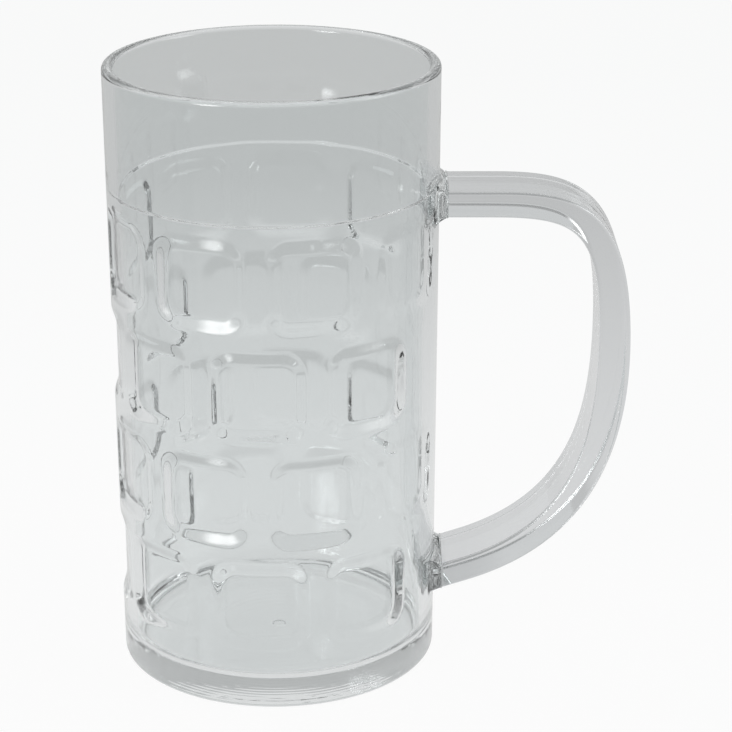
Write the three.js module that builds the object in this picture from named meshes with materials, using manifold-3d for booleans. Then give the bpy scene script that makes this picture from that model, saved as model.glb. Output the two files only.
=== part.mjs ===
// One-litre dimpled beer mug in clear moulded plastic: a thick-based body with four rows of
// pressed dimples, a fill ledge inside the mouth, and a separate loop handle bonded to two
// flat pads on the wall. Millimetres, +Z up, underside on z = 0, handle towards +X.
import * as THREE from "three";
import * as BufferGeometryUtils from "three/addons/utils/BufferGeometryUtils.js";
import Module from "manifold-3d";

const wasm = await Module();
wasm.setup();

// body moulding
const HEIGHT = 193;
const RIM_RADIUS = 51.4;
const BASE_RADIUS = 50.3;
const RIM_WALL = 3.6;
const RIM_ROUND = 1.5;
const FOOT_ROUND = 1.4;
const FLOOR_THICK = 7.6;
const FLOOR_FILLET = 9;
const BASE_WALL = 4.3;
const LEDGE_Z = 155;
const LEDGE_STEP = 0.8;

// pressed dimples, in staggered rows, left out beside the handle
const ROWS = 4;
const PER_ROW = 9;
const ROW_PITCH = 34.2;
const TOP_ROW_Z = 137;
const DIMPLE_WIDTH = 31;
const DIMPLE_HEIGHT = 29.6;
const DIMPLE_BORDER = 4.4;
const DIMPLE_CORNER = 8;
const DIMPLE_DEPTH = 1.45;
const FACETS_PER_PITCH = 8;
const PATTERN_TURN = THREE.MathUtils.degToRad(5.7);
const PLAIN_HALF_ANGLE = THREE.MathUtils.degToRad(30);

// handle bar: rounded rectangular section carried round a D-shaped centreline
const BAR_WIDTH = 24.4;
const BAR_THICK = 8.8;
const BAR_CORNER = 1.2;
const BAR_STEPS = 52;
const UPPER_Z = 151.2;
const UPPER_ARM_END = 68;
const UPPER_BEND_IN = 11.7;
const UPPER_BEND_DROP = 4.2;
const GRIP_X = 105.7;
const GRIP_Z = 104;
const LOWER_SWEEP_DROP = 38;
const LOWER_SWEEP_IN = 12.5;
const LOWER_ARM_END = 59;
const LOWER_ARM_Z = 29.2;
const LOWER_SLOPE = 0.325;

// bonded joints: a flat pad on the wall, a thin adhesive film, a tenon in a blind socket
const PAD_PROUD = 2;
const PAD_MARGIN = 0.9;
const FILM_THICK = 0.4;
const TENON_WIDTH = 13;
const TENON_THICK = 4.2;
const TENON_LENGTH = 2.2;
const TENON_CORNER = 1;
const SOCKET_CLEARANCE = 0.3;

// outer radius of the plain wall at height z (straight, slight draft)
const outerRadius = (z) => BASE_RADIUS + (RIM_RADIUS - BASE_RADIUS) * (z / HEIGHT);

// the handle's two roots: each pad stands proud of the wall at its own height
const upperFace = outerRadius(UPPER_Z) + PAD_PROUD;
const lowerFace = outerRadius(LOWER_ARM_Z) + PAD_PROUD;
const roots = [
  { name: "upper_bond", face: upperFace, z: UPPER_Z, height: BAR_THICK },
  {
    name: "lower_bond",
    face: lowerFace,
    z: LOWER_ARM_Z - (LOWER_ARM_END - lowerFace) * LOWER_SLOPE,
    height: BAR_THICK * Math.hypot(1, LOWER_SLOPE),
  },
];

function solidOf(geometry) {
  const g = geometry.clone();
  g.deleteAttribute("normal");
  g.deleteAttribute("uv");
  const merged = BufferGeometryUtils.mergeVertices(g, 1e-4);
  const mesh = new wasm.Mesh({
    numProp: 3,
    vertProperties: new Float32Array(merged.attributes.position.array),
    triVerts: new Uint32Array(merged.index.array),
  });
  return new wasm.Manifold(mesh);
}

function meshOf(solid, name, material) {
  const out = solid.getMesh();
  const geometry = new THREE.BufferGeometry();
  geometry.setAttribute("position", new THREE.BufferAttribute(new Float32Array(out.vertProperties), 3));
  geometry.setIndex(new THREE.BufferAttribute(new Uint32Array(out.triVerts), 1));
  geometry.computeVertexNormals();
  const mesh = new THREE.Mesh(geometry, material);
  mesh.name = name;
  return mesh;
}

// rounded rectangle centred on the origin
function roundedRectangle(width, height, corner) {
  const w = width / 2;
  const h = height / 2;
  const s = new THREE.Shape();
  s.moveTo(-w + corner, -h);
  s.lineTo(w - corner, -h);
  s.absarc(w - corner, -h + corner, corner, -Math.PI / 2, 0);
  s.lineTo(w, h - corner);
  s.absarc(w - corner, h - corner, corner, 0, Math.PI / 2);
  s.lineTo(-w + corner, h);
  s.absarc(-w + corner, h - corner, corner, Math.PI / 2, Math.PI);
  s.lineTo(-w, -h + corner);
  s.absarc(-w + corner, -h + corner, corner, Math.PI, Math.PI * 1.5);
  return s;
}

// plate standing square to +X between two planes, its outline across Y and up Z
function plateX(outline, x0, x1, z, curveSegments = 3) {
  const g = new THREE.ExtrudeGeometry(outline, { depth: x1 - x0, bevelEnabled: false, curveSegments });
  g.applyMatrix4(new THREE.Matrix4().set(0, 0, 1, x0, 1, 0, 0, 0, 0, 1, 0, z, 0, 0, 0, 1));
  return solidOf(g);
}

const rowZ = (row) => TOP_ROW_Z - row * ROW_PITCH;
const pitchAngle = (2 * Math.PI) / PER_ROW;

// depth of the pressed pattern at a place on the wall: nothing on the ribs, full depth on a
// dimple's floor, and a straight slope across its border, set by the distance to its outline
function dimpleDepth(turn, z) {
  let depth = 0;
  for (let row = 0; row < ROWS; row += 1) {
    const shifted = turn - PATTERN_TURN - (row % 2) * (pitchAngle / 2);
    const column = Math.round(shifted / pitchAngle);
    const centre = column * pitchAngle + (row % 2) * (pitchAngle / 2);
    const fromHandle = Math.abs(Math.atan2(Math.sin(centre), Math.cos(centre)));
    const across = Math.abs(shifted - column * pitchAngle) * outerRadius(rowZ(row));
    const along = Math.abs(z - rowZ(row));
    const qx = across - (DIMPLE_WIDTH / 2 - DIMPLE_CORNER);
    const qy = along - (DIMPLE_HEIGHT / 2 - DIMPLE_CORNER);
    const beyond = Math.hypot(Math.max(qx, 0), Math.max(qy, 0));
    const inside = DIMPLE_CORNER - beyond - Math.min(Math.max(qx, qy), 0);
    if (inside > 0 && fromHandle > PLAIN_HALF_ANGLE) {
      depth = Math.max(depth, DIMPLE_DEPTH * Math.min(inside / DIMPLE_BORDER, 1));
    }
  }
  return depth;
}

// heights at which the wall needs a ring of corners: the edges of every dimple row
function wallHeights() {
  const half = DIMPLE_HEIGHT / 2;
  const insets = [0, DIMPLE_BORDER / 2, DIMPLE_BORDER, DIMPLE_CORNER];
  const heights = [];
  for (let row = ROWS - 1; row >= 0; row -= 1) {
    for (const inset of insets) {
      heights.push(rowZ(row) - half + inset);
    }
    for (const inset of insets.toReversed()) {
      heights.push(rowZ(row) + half - inset);
    }
  }
  return heights.filter((z) => z > FOOT_ROUND && z < HEIGHT - RIM_ROUND).sort((a, b) => a - b);
}

// body of revolution: underside, foot, wall, rounded rim, bore with its ledge, floor;
// the pattern is then pressed into its outer wall
function bodySolid() {
  const p = new THREE.Path();
  const mouth = RIM_RADIUS - RIM_WALL;
  const ledgeUpper = outerRadius(LEDGE_Z) - RIM_WALL;
  const ledgeLower = ledgeUpper - LEDGE_STEP;
  const floorRadius = outerRadius(FLOOR_THICK) - BASE_WALL;
  p.moveTo(0, 0);
  p.lineTo(BASE_RADIUS - FOOT_ROUND, 0);
  p.quadraticCurveTo(BASE_RADIUS, 0, outerRadius(FOOT_ROUND), FOOT_ROUND);
  for (const z of wallHeights()) {
    p.lineTo(outerRadius(z), z);
  }
  p.lineTo(outerRadius(HEIGHT - RIM_ROUND), HEIGHT - RIM_ROUND);
  p.quadraticCurveTo(RIM_RADIUS, HEIGHT, RIM_RADIUS - RIM_ROUND, HEIGHT);
  p.lineTo(mouth + RIM_ROUND, HEIGHT);
  p.quadraticCurveTo(mouth, HEIGHT, mouth, HEIGHT - RIM_ROUND);
  p.lineTo(ledgeUpper, LEDGE_Z + LEDGE_STEP);
  p.lineTo(ledgeLower, LEDGE_Z);
  p.lineTo(floorRadius, FLOOR_THICK + FLOOR_FILLET);
  p.quadraticCurveTo(floorRadius, FLOOR_THICK, floorRadius - FLOOR_FILLET, FLOOR_THICK);
  p.lineTo(0, FLOOR_THICK);
  const g = new THREE.LatheGeometry(p.getPoints(4), PER_ROW * FACETS_PER_PITCH);
  const facet = pitchAngle / FACETS_PER_PITCH;
  g.rotateX(Math.PI / 2);
  g.rotateZ(Math.PI / 2 + PATTERN_TURN + facet / 2);
  const v = g.attributes.position;
  for (let i = 0; i < v.count; i += 1) {
    const r = Math.hypot(v.getX(i), v.getY(i));
    if (r > outerRadius(v.getZ(i)) - LEDGE_STEP) {
      const pressed = dimpleDepth(Math.atan2(v.getY(i), v.getX(i)), v.getZ(i));
      v.setX(i, v.getX(i) * (1 - pressed / r));
      v.setY(i, v.getY(i) * (1 - pressed / r));
    }
  }
  return solidOf(g);
}

// outlines of the flat bonding pad and of its blind socket
const padOutline = (root) => roundedRectangle(
  BAR_WIDTH + 2 * PAD_MARGIN,
  root.height + 2 * PAD_MARGIN,
  BAR_CORNER + PAD_MARGIN,
);
const socketOutline = () => roundedRectangle(
  TENON_WIDTH + 2 * SOCKET_CLEARANCE,
  TENON_THICK + 2 * SOCKET_CLEARANCE,
  TENON_CORNER + SOCKET_CLEARANCE,
);

let body = bodySolid();
for (const root of roots) {
  const buried = outerRadius(root.z) - RIM_WALL + LEDGE_STEP;
  const socketEnd = root.face - TENON_LENGTH - SOCKET_CLEARANCE;
  body = body.add(plateX(padOutline(root), buried, root.face, root.z));
  body = body.subtract(plateX(socketOutline(), socketEnd, root.face + FILM_THICK, root.z, 1));
}

// handle centreline in the plane y = 0, run on past the roots into the wall
function barCentreline() {
  const at = (x, z) => new THREE.Vector3(x, 0, z);
  const upperIn = upperFace - BAR_THICK;
  const lowerIn = lowerFace - BAR_THICK;
  const sweepX = GRIP_X - LOWER_SWEEP_IN;
  const sweepZ = LOWER_ARM_Z + (sweepX - LOWER_ARM_END) * LOWER_SLOPE;
  const curve = new THREE.CurvePath();
  curve.add(new THREE.LineCurve3(at(upperIn, UPPER_Z), at(UPPER_ARM_END, UPPER_Z)));
  curve.add(new THREE.CubicBezierCurve3(
    at(UPPER_ARM_END, UPPER_Z),
    at(GRIP_X - UPPER_BEND_IN, UPPER_Z),
    at(GRIP_X, UPPER_Z - UPPER_BEND_DROP),
    at(GRIP_X, GRIP_Z),
  ));
  curve.add(new THREE.CubicBezierCurve3(
    at(GRIP_X, GRIP_Z),
    at(GRIP_X, GRIP_Z - LOWER_SWEEP_DROP),
    at(sweepX, sweepZ),
    at(LOWER_ARM_END, LOWER_ARM_Z),
  ));
  const drop = (LOWER_ARM_END - lowerIn) * LOWER_SLOPE;
  curve.add(new THREE.LineCurve3(at(LOWER_ARM_END, LOWER_ARM_Z), at(lowerIn, LOWER_ARM_Z - drop)));
  return curve;
}

function handleSolid() {
  const bar = solidOf(new THREE.ExtrudeGeometry(roundedRectangle(BAR_THICK, BAR_WIDTH, BAR_CORNER), {
    steps: BAR_STEPS,
    curveSegments: 2,
    bevelEnabled: false,
    extrudePath: barCentreline(),
  }));
  let handle = bar;
  for (const root of roots) {
    const barEnd = root.face + FILM_THICK;
    const waste = new THREE.BoxGeometry(4 * BAR_THICK, 2 * BAR_WIDTH, 4 * root.height);
    waste.translate(barEnd - 2 * BAR_THICK, 0, root.z);
    handle = handle.subtract(solidOf(waste));
    const tenon = roundedRectangle(TENON_WIDTH, TENON_THICK, TENON_CORNER);
    handle = handle.add(plateX(tenon, root.face - TENON_LENGTH, barEnd + TENON_LENGTH, root.z, 1));
  }
  return handle;
}

function filmSolid(root) {
  const outline = roundedRectangle(BAR_WIDTH, root.height, BAR_CORNER);
  const barEnd = root.face + FILM_THICK;
  const hole = plateX(socketOutline(), root.face - FILM_THICK, barEnd + FILM_THICK, root.z, 1);
  return plateX(outline, root.face, barEnd, root.z).subtract(hole);
}

const clearPlastic = new THREE.MeshStandardMaterial({
  name: "clear_plastic", color: 0xcfd3d1, roughness: 0.06, metalness: 0,
});
const handlePlastic = new THREE.MeshStandardMaterial({
  name: "handle_plastic", color: 0xd0d4d2, roughness: 0.05, metalness: 0,
});
const adhesive = new THREE.MeshStandardMaterial({
  name: "clear_adhesive", color: 0xb9bdbb, roughness: 0.18, metalness: 0,
});

const mug = new THREE.Group();
mug.name = "beer_mug";
mug.add(meshOf(body, "mug_body", clearPlastic));
mug.add(meshOf(handleSolid(), "handle", handlePlastic));
for (const root of roots) {
  mug.add(meshOf(filmSolid(root), root.name, adhesive));
}

export default mug;
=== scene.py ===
import math

import bpy
import numpy as np
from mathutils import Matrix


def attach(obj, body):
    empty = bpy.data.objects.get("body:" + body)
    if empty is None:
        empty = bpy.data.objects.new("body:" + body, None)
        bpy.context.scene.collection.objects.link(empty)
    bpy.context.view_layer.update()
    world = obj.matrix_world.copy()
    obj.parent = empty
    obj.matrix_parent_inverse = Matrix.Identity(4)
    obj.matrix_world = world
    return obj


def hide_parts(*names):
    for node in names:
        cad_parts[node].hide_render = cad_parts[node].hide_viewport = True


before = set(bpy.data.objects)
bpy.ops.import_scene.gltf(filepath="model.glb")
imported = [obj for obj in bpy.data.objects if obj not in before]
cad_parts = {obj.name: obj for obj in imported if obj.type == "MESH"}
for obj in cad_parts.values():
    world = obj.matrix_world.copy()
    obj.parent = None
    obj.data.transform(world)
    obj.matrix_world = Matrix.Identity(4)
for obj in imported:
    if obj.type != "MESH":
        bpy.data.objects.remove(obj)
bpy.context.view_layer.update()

# Mug body. One injection moulding in clear styrene plastic: a thick flat base, a wall with a
# slight draft, staggered rows of shallow pressed dimples that stop short of the handle, and a
# fill ledge inside the mouth. Two low pads with flared edges carry the handle's ends.
MM = 0.001
HEIGHT = 193.0
RIM_RADIUS = 51.4
BASE_RADIUS = 50.3
RIM_WALL = 3.6
RIM_ROUND = 1.5
FOOT_ROUND = 1.4
FLOOR_THICK = 7.6
FLOOR_FILLET = 5.0
BASE_WALL = 4.3
LEDGE_Z = 155.0
LEDGE_STEP = 0.8
GATE_RADIUS = 2.2
GATE_DEPTH = 0.6

ROW_HEIGHTS = (137.0, 102.8, 68.6, 34.4)
PITCH = math.radians(40.0)
PATTERN_TURN = math.radians(5.7)
PLAIN_HALF_ANGLE = math.radians(30.0)
FADE_ANGLE = math.radians(15.0)
DIMPLE_HALF_WIDTH = 15.5
DIMPLE_HALF_HEIGHT = 14.8
DIMPLE_CORNER = 8.0
DIMPLE_BORDER = 4.6
DIMPLE_DEPTH = 1.4
BORDER_EASE = 0.2

BAR_WIDTH = 24.4
BAR_CORNER = 0.8
BAR_THICK = 8.0
UPPER_Z = 151.2
LOWER_ARM_END = 59.0
LOWER_ARM_Z = 29.2
LOWER_SLOPE = 0.325
PAD_PROUD = 2.0
UPPER_FLARE = 3.6
LOWER_FLARE = 1.8
FACING_COSINE = 0.5
FILM_THICK = 0.4
FILM_LAP = 0.05
BEAD_DEPTH = 0.1
BEAD_PITCH = 2.6
BEAD_SQUEEZE = 0.8
ACROSS_SWAY = 2.0
ACROSS_BEND = 0.4
UPRIGHT_SWAY = 1.7
UPRIGHT_BEND = 0.5


def wall_radius(z):
    """Plain outer wall: radius grows in a straight line from the base to the rim."""
    return BASE_RADIUS + (RIM_RADIUS - BASE_RADIUS) * z / HEIGHT


UPPER_FACE = wall_radius(UPPER_Z) + PAD_PROUD
LOWER_FACE = wall_radius(LOWER_ARM_Z) + PAD_PROUD
LOWER_Z = LOWER_ARM_Z - (LOWER_ARM_END - LOWER_FACE) * LOWER_SLOPE
LOWER_HEIGHT = BAR_THICK * math.hypot(1, LOWER_SLOPE)
ROOTS = ((UPPER_Z, BAR_THICK, UPPER_FACE), (LOWER_Z, LOWER_HEIGHT, LOWER_FACE))
FLARES = (UPPER_FLARE, LOWER_FLARE)


def outline_distance(across, along, half_width, half_height, corner):
    """Signed distance from a rounded rectangle's outline: negative inside, positive outside."""
    past_side = np.abs(across) - (half_width - corner)
    past_end = np.abs(along) - (half_height - corner)
    beyond = np.hypot(np.maximum(past_side, 0), np.maximum(past_end, 0))
    return beyond + np.minimum(np.maximum(past_side, past_end), 0) - corner


def eased(t):
    """Straight ramp from 0 to 1 whose two ends are rounded off by parabolas."""
    t = np.clip(t, 0, 1)
    w = BORDER_EASE
    foot = t * t / (2 * w * (1 - w))
    head = 1 - (1 - t) ** 2 / (2 * w * (1 - w))
    return np.where(t < w, foot, np.where(t > 1 - w, head, (t - w / 2) / (1 - w)))


def pressed_depth(turn, z):
    """Depth of the pressed pattern: each row's nearest dimple, full depth on its floor, and an
    eased ramp across its border; dimples near the handle are shallow, and closer ones left out."""
    depth = np.zeros_like(z)
    for row, row_z in enumerate(ROW_HEIGHTS):
        stagger = PITCH / 2 * (row % 2)
        shifted = turn - PATTERN_TURN - stagger
        column = np.round(shifted / PITCH)
        centre = column * PITCH + PATTERN_TURN + stagger
        from_handle = np.abs(np.arctan2(np.sin(centre), np.cos(centre)))
        across = (shifted - column * PITCH) * wall_radius(row_z)
        inside = -outline_distance(
            across, z - row_z, DIMPLE_HALF_WIDTH, DIMPLE_HALF_HEIGHT, DIMPLE_CORNER
        )
        kept = np.clip((from_handle - PLAIN_HALF_ANGLE) / FADE_ANGLE, 0, 1)
        depth = np.maximum(depth, DIMPLE_DEPTH * eased(inside / DIMPLE_BORDER) * kept)
    return depth


def pad_rise(turn, z, radius):
    """How far the wall swells to the two handle pads: up to the flat pad face inside the bar's
    outline, and a parabola that dies away over the flare outside it, where the bead left by the
    bond is slightly uneven, two crossed swaying waves that fade with the distance."""
    rise = np.zeros_like(z)
    facing = np.cos(turn) > FACING_COSINE
    across = radius * np.sin(turn)
    wave = 2 * np.pi / BEAD_PITCH
    for (root_z, root_height, face), flare in zip(ROOTS, FLARES):
        to_face = (face + FILM_LAP) / np.maximum(np.cos(turn), FACING_COSINE) - radius
        d = outline_distance(across, z - root_z, BAR_WIDTH / 2, root_height / 2, BAR_CORNER)
        t = np.clip(1 - d / flare, 0, 1)
        uneven = np.sin(wave * across + ACROSS_SWAY * np.sin(ACROSS_BEND * z))
        uneven = uneven * np.sin(BEAD_SQUEEZE * wave * z + UPRIGHT_SWAY * np.sin(UPRIGHT_BEND * across))
        bead = BEAD_DEPTH * uneven * np.clip(1 - d / (2 * flare), 0, 1) * (d > 0)
        rise = np.maximum(rise, to_face * t * t * facing) + bead * facing
    return rise


def arc(centre_r, centre_z, radius, start, stop, count):
    """Points of a circular arc in the radius and height plane, angles in degrees."""
    a = np.radians(np.linspace(start, stop, count))
    return np.stack([centre_r + radius * np.cos(a), centre_z + radius * np.sin(a)], 1)


# Rows of the half section: points in each round, rows on the straight stretches, and the short
# distances at which a row keeps a smooth face flat beside a round or a step.
FOOT_POINTS = 7
RIM_POINTS = 8
LEDGE_POINTS = 9
FILLET_POINTS = 9
PRESSED_FROM = 18.0
PRESSED_TO = 160.0
PRESSED_ROWS = 158
FOOT_ROWS = 5
COLLAR_FROM = 164.0
COLLAR_ROWS = 8
UPPER_BORE_ROWS = (185.5, 175.0, 162.0, 157.0)
LOWER_BORE_FROM = 145.0
LOWER_BORE_ROWS = 8
UNDERSIDE_ROWS = (15.0, 32.0, 45.0)
FLOOR_ROWS = (36.0, 26.0, 16.0, 8.0, 0.0)
GATE_REACH = (0.0, 0.7, 0.8, 0.95, 1.0, 1.2)
GATE_RISE = (1.0, 1.0, 0.95, 0.05, 0.0, 0.0)
ROUND_GUARD = 1.0
RIM_GUARD = 0.5
FOOT_GUARD = 0.6
FLOOR_GUARD = 0.8
LEDGE_GUARDS = (0.3, 1.5)


def body_profile():
    """Half section of the plain body as points of radius and height: underside with the gate's
    small hollow, foot, wall, rim, upper bore, ledge, lower bore, floor fillet and floor."""
    gate = np.stack([GATE_RADIUS * np.array(GATE_REACH), GATE_DEPTH * np.array(GATE_RISE)], 1)
    under_r = np.array([*UNDERSIDE_ROWS, BASE_RADIUS - FOOT_ROUND - FOOT_GUARD])
    under = np.stack([under_r, np.zeros_like(under_r)], 1)
    foot = arc(BASE_RADIUS - FOOT_ROUND, FOOT_ROUND, FOOT_ROUND, -90, 0, FOOT_POINTS)
    rim_z = HEIGHT - RIM_ROUND
    heights = np.concatenate([
        np.linspace(FOOT_ROUND + ROUND_GUARD, PRESSED_FROM - ROUND_GUARD, FOOT_ROWS),
        np.linspace(PRESSED_FROM, PRESSED_TO, PRESSED_ROWS),
        np.linspace(COLLAR_FROM, rim_z - RIM_GUARD, COLLAR_ROWS),
    ])
    wall = np.stack([wall_radius(heights), heights], 1)
    mouth = RIM_RADIUS - RIM_WALL
    outer_rim = arc(wall_radius(rim_z) - RIM_ROUND, rim_z, RIM_ROUND, 0, 90, RIM_POINTS)
    inner_rim = arc(mouth + RIM_ROUND, rim_z, RIM_ROUND, 90, 180, RIM_POINTS)
    upper = wall_radius(LEDGE_Z) - RIM_WALL
    lower = upper - LEDGE_STEP
    bore_z = np.array([rim_z - ROUND_GUARD, *UPPER_BORE_ROWS, LEDGE_Z + LEDGE_STEP + LEDGE_GUARDS[0]])
    bore_r = upper + (mouth - upper) * (bore_z - LEDGE_Z) / (rim_z - LEDGE_Z)
    upper_bore = np.stack([bore_r, bore_z], 1)
    t = np.linspace(0, 1, LEDGE_POINTS)
    swing = t * t * (3 - 2 * t)
    ledge = np.stack([upper - LEDGE_STEP * swing, LEDGE_Z + LEDGE_STEP * (1 - t)], 1)
    floor_r = wall_radius(FLOOR_THICK) - BASE_WALL
    fillet_z = FLOOR_THICK + FLOOR_FILLET
    low_rows = np.linspace(LOWER_BORE_FROM, fillet_z + ROUND_GUARD, LOWER_BORE_ROWS)
    low_z = np.concatenate([LEDGE_Z - np.array(LEDGE_GUARDS), low_rows])
    low_r = floor_r + (lower - floor_r) * (low_z - fillet_z) / (LEDGE_Z - fillet_z)
    lower_bore = np.stack([low_r, low_z], 1)
    fillet = arc(floor_r - FLOOR_FILLET, fillet_z, FLOOR_FILLET, 0, -90, FILLET_POINTS)
    inner_r = np.array([floor_r - FLOOR_FILLET - FLOOR_GUARD, *FLOOR_ROWS])
    inner = np.stack([inner_r, np.full_like(inner_r, FLOOR_THICK)], 1)
    return np.concatenate([
        gate, under, foot, wall, outer_rim, inner_rim, upper_bore, ledge, lower_bore, fillet, inner,
    ])


def turned_mesh(name, grid):
    """Closed mesh from a grid of points: columns run round and meet, and the first and last
    rows are single points on the axis joined to their neighbours by triangles."""
    rows, columns = grid.shape[:2]
    points = np.concatenate([grid[0, :1], grid[1:-1].reshape(-1, 3), grid[-1, :1]])
    i, j = np.meshgrid(np.arange(rows - 3), np.arange(columns), indexing="ij")
    k = (j + 1) % columns
    corners = [i * columns + j, i * columns + k, (i + 1) * columns + k, (i + 1) * columns + j]
    quads = 1 + np.stack(corners, -1).reshape(-1, 4)
    ring = np.arange(columns)
    after = (ring + 1) % columns
    last = 1 + (rows - 3) * columns
    first_fan = np.stack([np.zeros_like(ring), 1 + after, 1 + ring], 1)
    last_fan = np.stack([np.full_like(ring, len(points) - 1), last + ring, last + after], 1)
    mesh = bpy.data.meshes.new(name)
    faces = quads.tolist() + first_fan.tolist() + last_fan.tolist()
    mesh.from_pydata((points * MM).tolist(), [], faces)
    mesh.polygons.foreach_set("use_smooth", np.ones(len(mesh.polygons), dtype=bool))
    mesh.update()
    piece = bpy.data.objects.new(name, mesh)
    bpy.context.scene.collection.objects.link(piece)
    return piece


BODY_COLUMNS = 400
HANDLE_CROWDING = 0.35
SKIN_TOLERANCE = 0.05
spread = np.linspace(0, 2 * np.pi, BODY_COLUMNS, endpoint=False)
profile = body_profile()
turn, z = np.meshgrid(spread - HANDLE_CROWDING * np.sin(spread), profile[:, 1])
radius = np.broadcast_to(profile[:, :1], z.shape)
outside = (radius > wall_radius(z) - SKIN_TOLERANCE) & (z > FOOT_ROUND) & (z < HEIGHT - RIM_ROUND)
pressed = radius + outside * (pad_rise(turn, z, radius) - pressed_depth(turn, z))
body_grid = np.stack([pressed * np.cos(turn), pressed * np.sin(turn), z], -1)
body = turned_mesh("mug_body_moulding", body_grid)

PLASTIC_IOR = 1.57
BODY_TINT = (0.914, 0.935, 0.936)
DRIFT_SCALE = 38.0
DRIFT_DETAIL = 4.0
DRIFT_LOW = 0.35
DRIFT_HIGH = 0.75
PALEST_SHADE = 1.0
DEEPEST_SHADE = 0.985
RIPPLE_SCALE = 70.0
RIPPLE_DETAIL = 1.0
RIPPLE_HEIGHT = 0.0004
TURNING_SCALE = 110.0
TURNING_WANDER = 0.6
TURNING_DEPTH = 0.00001
TURNING_TOP = 0.0002
TURNING_END = 0.0012
MIX_FIRST_COLOUR = 6
MIX_SECOND_COLOUR = 7
MIX_COLOUR_OUT = 2


def ranged(tree, value, start, stop, first, last):
    """Map Range node that carries a value between start and stop over to first and last."""
    node = tree.nodes.new("ShaderNodeMapRange")
    node.inputs["From Min"].default_value = start
    node.inputs["From Max"].default_value = stop
    node.inputs["To Min"].default_value = first
    node.inputs["To Max"].default_value = last
    tree.links.new(value, node.inputs["Value"])
    return node


def noise(tree, scale, detail):
    """Noise on the piece's own coordinates, which are metres."""
    place = tree.nodes.get("Texture Coordinate") or tree.nodes.new("ShaderNodeTexCoord")
    node = tree.nodes.new("ShaderNodeTexNoise")
    node.inputs["Scale"].default_value = scale
    node.inputs["Detail"].default_value = detail
    tree.links.new(place.outputs["Object"], node.inputs["Vector"])
    return node


def clear_plastic(name, tint, smooth, hazy, ripple):
    """Clear moulded plastic: full transmission, a faint tint that is not quite even, a roughness
    that drifts between two values, and a slight long ripple in the polish left by the mould."""
    material = bpy.data.materials.new(name)
    material.use_nodes = True
    tree = material.node_tree
    shader = tree.nodes["Principled BSDF"]
    shader.inputs["Transmission Weight"].default_value = 1.0
    shader.inputs["IOR"].default_value = PLASTIC_IOR
    drift = noise(tree, DRIFT_SCALE, DRIFT_DETAIL).outputs["Fac"]
    shade = ranged(tree, drift, 0.0, 1.0, DEEPEST_SHADE, PALEST_SHADE)
    colour = tree.nodes.new("ShaderNodeMix")
    colour.data_type = "RGBA"
    colour.blend_type = "MULTIPLY"
    colour.inputs["Factor"].default_value = 1.0
    colour.inputs[MIX_FIRST_COLOUR].default_value = (*tint, 1.0)
    tree.links.new(shade.outputs["Result"], colour.inputs[MIX_SECOND_COLOUR])
    tree.links.new(colour.outputs[MIX_COLOUR_OUT], shader.inputs["Base Color"])
    polish = ranged(tree, drift, DRIFT_LOW, DRIFT_HIGH, smooth, hazy)
    tree.links.new(polish.outputs["Result"], shader.inputs["Roughness"])
    bump = tree.nodes.new("ShaderNodeBump")
    bump.inputs["Strength"].default_value = ripple
    bump.inputs["Distance"].default_value = RIPPLE_HEIGHT
    tree.links.new(noise(tree, RIPPLE_SCALE, RIPPLE_DETAIL).outputs["Fac"], bump.inputs["Height"])
    tree.links.new(bump.outputs["Normal"], shader.inputs["Normal"])
    return material


def turning_marks(material):
    """Fine rings left on the underside by the mould's turned face: a ring wave round the axis that
    fades out just above the table, added to the bump that the material has."""
    tree = material.node_tree
    place = tree.nodes["Texture Coordinate"].outputs["Object"]
    rings = tree.nodes.new("ShaderNodeTexWave")
    rings.wave_type = "RINGS"
    rings.rings_direction = "Z"
    rings.inputs["Scale"].default_value = TURNING_SCALE
    rings.inputs["Distortion"].default_value = TURNING_WANDER
    tree.links.new(place, rings.inputs["Vector"])
    split = tree.nodes.new("ShaderNodeSeparateXYZ")
    tree.links.new(place, split.inputs["Vector"])
    under = ranged(tree, split.outputs["Z"], TURNING_TOP, TURNING_END, 1.0, 0.0)
    groove = tree.nodes.new("ShaderNodeMath")
    groove.operation = "MULTIPLY"
    tree.links.new(rings.outputs["Fac"], groove.inputs[0])
    tree.links.new(under.outputs["Result"], groove.inputs[1])
    turned_face = tree.nodes.new("ShaderNodeBump")
    turned_face.inputs["Strength"].default_value = 1.0
    turned_face.inputs["Distance"].default_value = TURNING_DEPTH
    tree.links.new(groove.outputs["Value"], turned_face.inputs["Height"])
    tree.links.new(tree.nodes["Bump"].outputs["Normal"], turned_face.inputs["Normal"])
    tree.links.new(turned_face.outputs["Normal"], tree.nodes["Principled BSDF"].inputs["Normal"])


body_plastic = clear_plastic("clear_body_plastic", BODY_TINT, smooth=0.01, hazy=0.035, ripple=0.12)
turning_marks(body_plastic)
body.data.materials.append(body_plastic)
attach(body, "root")
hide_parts("mug_body")

# Handle. A separate moulding of the same clear plastic: a flat bar with narrow rounded edges that
# leaves the upper pad level, turns down in one bend and sweeps back to the lower pad. It is a
# little thicker at the grip, its ends are cut square to the pads, and a plug on each locates it.
UPPER_END = UPPER_FACE + FILM_THICK - FILM_LAP
LOWER_END = LOWER_FACE + FILM_THICK - FILM_LAP
UPPER_ARM_END = 68.0
GRIP_X = 105.7
GRIP_Z = 104.0
UPPER_BEND_IN = 11.7
UPPER_BEND_DROP = 4.2
LOWER_SWEEP_IN = 12.5
LOWER_SWEEP_DROP = 38.0
GRIP_THICK = 9.85
GRIP_SHARE = 0.5
GRIP_SPREAD = 0.22
PLUG_WIDTH = 13.8
PLUG_THICK = 5.0
ARM_STEPS = 60
CURVE_STEPS = 300
BAR_RINGS = 320


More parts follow.
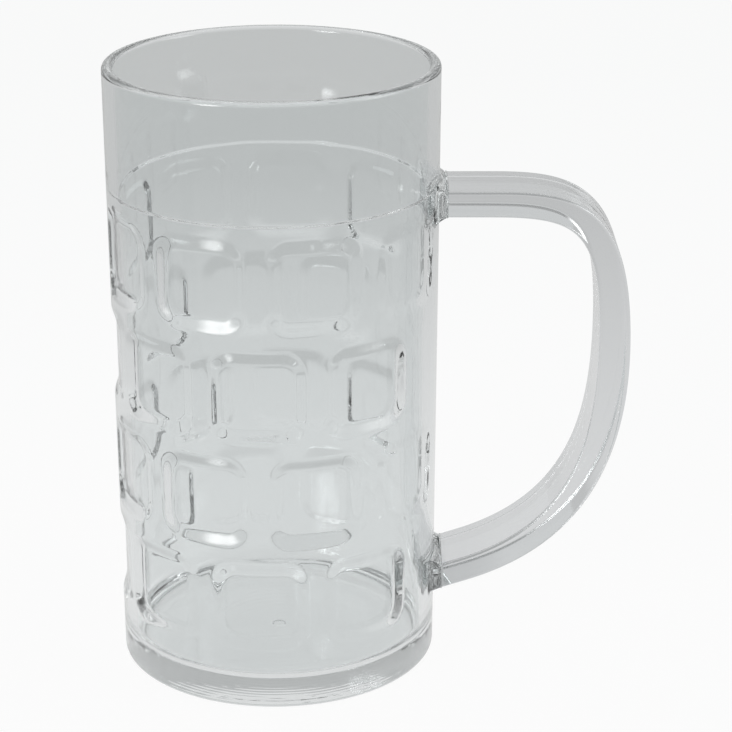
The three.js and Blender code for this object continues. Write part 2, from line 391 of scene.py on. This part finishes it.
def bezier(a, b, c, d, count):
    """Cubic curve with end points a and d and pulls b and c, without its last point."""
    t = np.linspace(0, 1, count, endpoint=False)[:, None]
    s = 1 - t
    return s**3 * a + 3 * s * s * t * b + 3 * s * t * t * c + t**3 * d


def handle_path(count):
    """Centreline of the bar at even steps, and the run along it: upper arm, bend, grip, sweep and
    lower arm, each point as X and Z."""
    start = np.array([UPPER_END, UPPER_Z])
    arm = np.array([UPPER_ARM_END, UPPER_Z])
    bend_in = np.array([GRIP_X - UPPER_BEND_IN, UPPER_Z])
    bend_out = np.array([GRIP_X, UPPER_Z - UPPER_BEND_DROP])
    grip = np.array([GRIP_X, GRIP_Z])
    sweep_in = np.array([GRIP_X, GRIP_Z - LOWER_SWEEP_DROP])
    sweep_x = GRIP_X - LOWER_SWEEP_IN
    sweep_out = np.array([sweep_x, LOWER_ARM_Z + (sweep_x - LOWER_ARM_END) * LOWER_SLOPE])
    low = np.array([LOWER_ARM_END, LOWER_ARM_Z])
    end = np.array([LOWER_END, LOWER_ARM_Z - (LOWER_ARM_END - LOWER_END) * LOWER_SLOPE])
    t = np.linspace(0, 1, ARM_STEPS, endpoint=False)[:, None]
    points = np.concatenate([
        start + (arm - start) * t,
        bezier(arm, bend_in, bend_out, grip, CURVE_STEPS),
        bezier(grip, sweep_in, sweep_out, low, CURVE_STEPS),
        low + (end - low) * t,
        end[None],
    ])
    run = np.concatenate([[0], np.cumsum(np.hypot(*np.diff(points, axis=0).T))])
    even = np.linspace(0, run[-1], count)
    return np.stack([np.interp(even, run, points[:, k]) for k in (0, 1)], 1), even


STREAK_DEPTH = 0.006
STREAK_PITCH = 1.9
FINE_STREAK = 0.6
FINE_RATIO = 1.63
FINE_SHIFT = 1.3
CALM_SHARE = 0.33
CALM_SPREAD = 0.2
CALM_AMOUNT = 0.85
SIDE_DENSITY = 2.4
SIDE_LEAST = 4
SIDE_REACH = 0.94
SIDE_GUARD = 0.985
CORNER_POINTS = 13


def rounded_section(half_width, half_thick, corner):
    """Section of the bar, walked once round: for each side its straight points and then its
    corner's quarter circle. Gives the points, their outward normals and each point's ripple, two
    sines of the distance along the side that fade out towards its ends."""
    points, normals, ripples = [], [], []
    wave = 2 * np.pi / STREAK_PITCH
    for quarter in range(4):
        facing = quarter * np.pi / 2
        out = np.array([np.cos(facing), np.sin(facing)])
        side = np.array([-np.sin(facing), np.cos(facing)])
        reach, half = (half_width, half_thick) if quarter % 2 == 0 else (half_thick, half_width)
        straight = half - corner
        inner = np.linspace(-SIDE_REACH, SIDE_REACH, int(SIDE_DENSITY * straight) + SIDE_LEAST)
        t = np.concatenate([[-SIDE_GUARD], inner, [SIDE_GUARD]])
        s = t * straight
        fine = FINE_STREAK * np.sin(FINE_RATIO * wave * s + FINE_SHIFT)
        points.append(out * reach + side * s[:, None])
        normals.append(np.broadcast_to(out, (len(s), 2)))
        ripples.append((np.sin(wave * s) + fine) * (1 - t**4))
        a = facing + np.linspace(0, np.pi / 2, CORNER_POINTS)
        round_out = np.stack([np.cos(a), np.sin(a)], 1)
        points.append(out * (reach - corner) + side * straight + corner * round_out)
        normals.append(round_out)
        ripples.append(np.zeros(len(a)))
    return np.concatenate(points), np.concatenate(normals), np.concatenate(ripples)


SQUARING_LENGTH = 9.0
CAP_INSET = 0.97
TIP_INSET = 0.05


def bar_rings():
    """The section carried along the path: thickness swells by a bell curve at the grip, lengthwise
    streaks calm down round the upper bend, and the last stretch slides along itself until its end
    is square to the lower pad."""
    path, run = handle_path(BAR_RINGS)
    along = np.gradient(path, axis=0)
    along /= np.linalg.norm(along, axis=1)[:, None]
    outward = np.stack([-along[:, 1], along[:, 0]], 1)
    share = run / run[-1]
    swell = np.exp(-((share - GRIP_SHARE) / GRIP_SPREAD) ** 2)
    thicker = (GRIP_THICK - BAR_THICK) * swell[:, None]
    unit, facing_out, ripple = rounded_section(BAR_WIDTH / 2, BAR_THICK / 2, BAR_CORNER)
    calm = np.exp(-((share - CALM_SHARE) / CALM_SPREAD) ** 4)
    streak = STREAK_DEPTH * (1 - CALM_AMOUNT * calm)[:, None] * ripple
    offset = unit[None, :, 1] + facing_out[None, :, 1] * (thicker / 2 + streak)
    ring_x = path[:, :1] + outward[:, :1] * offset
    ring_y = unit[None, :, 0] + facing_out[None, :, 0] * streak
    ring_z = path[:, 1:] + outward[:, 1:] * offset
    near_end = np.clip(1 - (run[-1] - run) / SQUARING_LENGTH, 0, 1)[:, None]
    slide = (LOWER_END - ring_x[-1]) / along[-1, 0] * near_end
    return np.stack([ring_x + along[-1, 0] * slide, ring_y, ring_z + along[-1, 1] * slide], -1)


def end_cap(ring, root_z, root_height, face):
    """Rows that close an end of the bar, from the outside in: the end ring drawn in a little, the
    ring of the short plug that fills the film's hole, the plug's tip just inside the pad, and its
    centre point."""
    spread_out = ring - ring.mean(0)
    drawn_in = ring.mean(0) + spread_out * CAP_INSET
    plug = spread_out * np.array([0, PLUG_WIDTH / BAR_WIDTH, PLUG_THICK / root_height])
    foot = np.array([ring[0, 0], 0, root_z])
    tip = np.array([face - FILM_LAP, 0, root_z])
    return np.stack([drawn_in, plug + foot, plug + tip, plug * TIP_INSET + tip, plug * 0 + tip])


rings = bar_rings()
first_cap = end_cap(rings[0], *ROOTS[0])[::-1]
last_cap = end_cap(rings[-1], *ROOTS[1])
handle = turned_mesh("handle_bar", np.concatenate([first_cap, rings, last_cap]))
HANDLE_TINT = (0.852, 0.866, 0.874)
handle_plastic = clear_plastic("clear_handle_plastic", HANDLE_TINT, smooth=0.012, hazy=0.03, ripple=0.08)
handle.data.materials.append(handle_plastic)
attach(handle, "root")
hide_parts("handle")

# Bonds. The two thin films of cured clear adhesive between the pads and the handle's ends stay
# as the solids have them, slightly hazier than the plastic on either side, which laps into them
# so that light passes the joint as it does in a bond without air.
BOND_TINT = (0.94, 0.955, 0.95)
bond = clear_plastic("cured_clear_adhesive", BOND_TINT, smooth=0.03, hazy=0.1, ripple=0.3)
for node in ("upper_bond", "lower_bond"):
    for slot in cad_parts[node].material_slots:
        slot.material = bond

# Studio floor. A disc of matt paper, white to the camera like the photograph's cut-out ground.
# Mirrored in the plastic or seen through it, the paper is dimmer and falls off with the distance
# from the mug, because the mug in the photograph still shows the grey studio it stood in.
FLOOR_RINGS = (0.05, 0.1, 0.2, 0.4, 0.8, 1.6, 4.0)
FLOOR_SIDES = 96
FLOOR_Z = -0.0002
# Painted shade: the paper's tone goes from white beside the mug to slightly darker far off, a painted
# falloff of studio light that the camera sees too.
PAPER_SHADE_FALLOFF = (
    (0.05, (1.0, 1.0, 1.0, 1.0)),
    (0.36, (0.988, 0.99, 0.99, 1.0)),
    (0.8, (0.975, 0.98, 0.978, 1.0)),
)
GLOW_SHARE = 0.94
CAMERA_STRENGTH = 1.0
# Painted light: seen mirrored or through the plastic, the paper glows at these strengths, brighter near the
# mug and dimmer far off, a painted falloff of studio light.
NEAR_STRENGTH = 0.8
FAR_STRENGTH = 0.6
NEAR_DISTANCE = 0.15
FAR_DISTANCE = 0.55


def floor_disc(name):
    """Flat disc of rings round the origin, each joined to the next by quads, with one polygon in
    the middle."""
    a = np.linspace(0, 2 * np.pi, FLOOR_SIDES, endpoint=False)
    x = np.outer(FLOOR_RINGS, np.cos(a))
    y = np.outer(FLOOR_RINGS, np.sin(a))
    points = np.stack([x, y, np.full_like(x, FLOOR_Z)], -1).reshape(-1, 3)
    i, j = np.meshgrid(np.arange(len(FLOOR_RINGS) - 1) * FLOOR_SIDES, np.arange(FLOOR_SIDES), indexing="ij")
    k = (j + 1) % FLOOR_SIDES
    quads = np.stack([i + j, i + FLOOR_SIDES + j, i + FLOOR_SIDES + k, i + k], -1).reshape(-1, 4)
    mesh = bpy.data.meshes.new(name)
    mesh.from_pydata(points.tolist(), [], quads.tolist() + [list(range(FLOOR_SIDES))])
    disc = bpy.data.objects.new(name, mesh)
    bpy.context.scene.collection.objects.link(disc)
    return disc


def brighter(tree, first, second):
    """Socket with the larger of two values."""
    node = tree.nodes.new("ShaderNodeMath")
    node.operation = "MAXIMUM"
    tree.links.new(first, node.inputs[0])
    tree.links.new(second, node.inputs[1])
    return node.outputs["Value"]


def pale_paper(name):
    """Matt paper whose tone and glow go by the distance from the mug, a painted falloff of light: white
    beside the mug and darker further off. Rays from the camera, mirrored rays and rays through plastic see
    mostly the glow, and the rest is matt and keeps the shadow."""
    material = bpy.data.materials.new(name)
    material.use_nodes = True
    tree = material.node_tree
    tree.nodes.remove(tree.nodes["Principled BSDF"])
    place = tree.nodes.new("ShaderNodeTexCoord")
    away = tree.nodes.new("ShaderNodeVectorMath")
    away.operation = "LENGTH"
    tree.links.new(place.outputs["Object"], away.inputs[0])
    tone = tree.nodes.new("ShaderNodeValToRGB")
    tone.color_ramp.elements.new(PAPER_SHADE_FALLOFF[1][0])
    for stop, (position, shade) in zip(tone.color_ramp.elements, PAPER_SHADE_FALLOFF):
        stop.position = position
        stop.color = shade
    tree.links.new(away.outputs["Value"], tone.inputs["Fac"])
    matt = tree.nodes.new("ShaderNodeBsdfDiffuse")
    tree.links.new(tone.outputs["Color"], matt.inputs["Color"])
    rays = tree.nodes.new("ShaderNodeLightPath")
    # Painted light: the glow's strength falls from near to far for mirrored rays and rays through plastic.
    falloff = ranged(tree, away.outputs["Value"], NEAR_DISTANCE, FAR_DISTANCE, NEAR_STRENGTH, FAR_STRENGTH)
    strength = tree.nodes.new("ShaderNodeMix")
    strength.inputs["B"].default_value = CAMERA_STRENGTH
    tree.links.new(rays.outputs["Is Camera Ray"], strength.inputs["Factor"])
    tree.links.new(falloff.outputs["Result"], strength.inputs["A"])
    glow = tree.nodes.new("ShaderNodeEmission")
    tree.links.new(tone.outputs["Color"], glow.inputs["Color"])
    tree.links.new(strength.outputs["Result"], glow.inputs["Strength"])
    seen = brighter(tree, rays.outputs["Is Camera Ray"], rays.outputs["Is Glossy Ray"])
    seen = brighter(tree, seen, rays.outputs["Is Transmission Ray"])
    share = ranged(tree, seen, 0.0, 1.0, 0.0, GLOW_SHARE)
    mix = tree.nodes.new("ShaderNodeMixShader")
    tree.links.new(share.outputs["Result"], mix.inputs["Fac"])
    tree.links.new(matt.outputs["BSDF"], mix.inputs[1])
    tree.links.new(glow.outputs["Emission"], mix.inputs[2])
    tree.links.new(mix.outputs["Shader"], tree.nodes["Material Output"].inputs["Surface"])
    return material


floor = floor_disc("studio_floor")
floor.data.materials.append(pale_paper("pale_paper"))

# Studio light. A pale room, darker overhead and on the camera's side, with an upright soft box to
# the front left that draws the highlights on the dimples, and a weak oval panel on the right.
ROOM_FRONT = (0.42, 0.42, 0.42, 1.0)
ROOM_BACK = (0.68, 0.69, 0.69, 1.0)
BACK_FROM = 0.6
CEILING_START = 0.28
CEILING_FULL = 0.5
CEILING_SHARE = 0.64
LAMP_AIM = (0, 0, 0.1)
CLOTH_MIDDLE = (0.5, 0.5, 0.0)
CLOTH_CORE = 0.08
CLOTH_EDGE = 0.5

world = bpy.data.worlds.new("studio_room")
world.use_nodes = True
bpy.context.scene.world = world
room = world.node_tree
direction = room.nodes.new("ShaderNodeTexCoord")
split = room.nodes.new("ShaderNodeSeparateXYZ")
room.links.new(direction.outputs["Generated"], split.inputs["Vector"])
depth = ranged(room, split.outputs["Y"], -1.0, 1.0, 0.0, 1.0)
walls = room.nodes.new("ShaderNodeValToRGB")
walls.color_ramp.elements[0].color = ROOM_FRONT
walls.color_ramp.elements[1].position = BACK_FROM
walls.color_ramp.elements[1].color = ROOM_BACK
room.links.new(depth.outputs["Result"], walls.inputs["Fac"])
ceiling = ranged(room, split.outputs["Z"], CEILING_START, CEILING_FULL, 1.0, CEILING_SHARE)
room.links.new(ceiling.outputs["Result"], room.nodes["Background"].inputs["Strength"])
room.links.new(walls.outputs["Color"], room.nodes["Background"].inputs["Color"])


def soft_box(name, shape, place, width, height, power):
    """Area lamp of a shape at a place, turned to face the mug. Its cloth is brightest in the middle
    and fades to nothing at the edge, by the distance from its centre."""
    lamp = bpy.data.lights.new(name, "AREA")
    lamp.shape = shape
    lamp.size = width
    lamp.size_y = height
    lamp.energy = power
    lamp.use_nodes = True
    tree = lamp.node_tree
    cloth = tree.nodes.new("ShaderNodeNewGeometry")
    from_middle = tree.nodes.new("ShaderNodeVectorMath")
    from_middle.operation = "DISTANCE"
    from_middle.inputs[1].default_value = CLOTH_MIDDLE
    tree.links.new(cloth.outputs["Parametric"], from_middle.inputs[0])
    fade = ranged(tree, from_middle.outputs["Value"], CLOTH_CORE, CLOTH_EDGE, 1.0, 0.0)
    fade.interpolation_type = "SMOOTHSTEP"
    tree.links.new(fade.outputs["Result"], tree.nodes["Emission"].inputs["Strength"])
    box = bpy.data.objects.new(name, lamp)
    away = np.array(place) - np.array(LAMP_AIM)
    level = math.hypot(away[0], away[1])
    box.location = place
    box.rotation_euler = (math.atan2(level, away[2]), 0, math.atan2(away[0], -away[1]))
    bpy.context.scene.collection.objects.link(box)


soft_box("left_box", "RECTANGLE", place=(-0.77, -0.915, 0.36), width=0.6, height=0.85, power=12.5)
soft_box("right_panel", "ELLIPSE", place=(1.3, -0.3, 0.6), width=1.1, height=1.4, power=9.0)

# Camera. At the photograph's viewing angle, a little to the right of the mug's axis and looking
# down on it. Light runs a long way round inside a clear wall, so it is followed through more
# turns than usual.
CAMERA_PLACE = (0.028534, -0.726402, 0.366173)
CAMERA_TILT = math.radians(69.504)
CAMERA_LENS = 120.64
SENSOR_WIDTH = 36.0
ALL_TURNS = 32
CLEAR_TURNS = 24

camera_data = bpy.data.cameras.new("photograph_camera")
camera_data.sensor_width = SENSOR_WIDTH
camera_data.lens = CAMERA_LENS
camera = bpy.data.objects.new("photograph_camera", camera_data)
camera.location = CAMERA_PLACE
camera.rotation_euler = (CAMERA_TILT, 0.0, 0.0)
bpy.context.scene.collection.objects.link(camera)
bpy.context.scene.camera = camera
bpy.context.scene.view_settings.view_transform = "Standard"
bpy.context.scene.cycles.max_bounces = ALL_TURNS
bpy.context.scene.cycles.glossy_bounces = CLEAR_TURNS
bpy.context.scene.cycles.transmission_bounces = CLEAR_TURNS

bpy.context.view_layer.update()
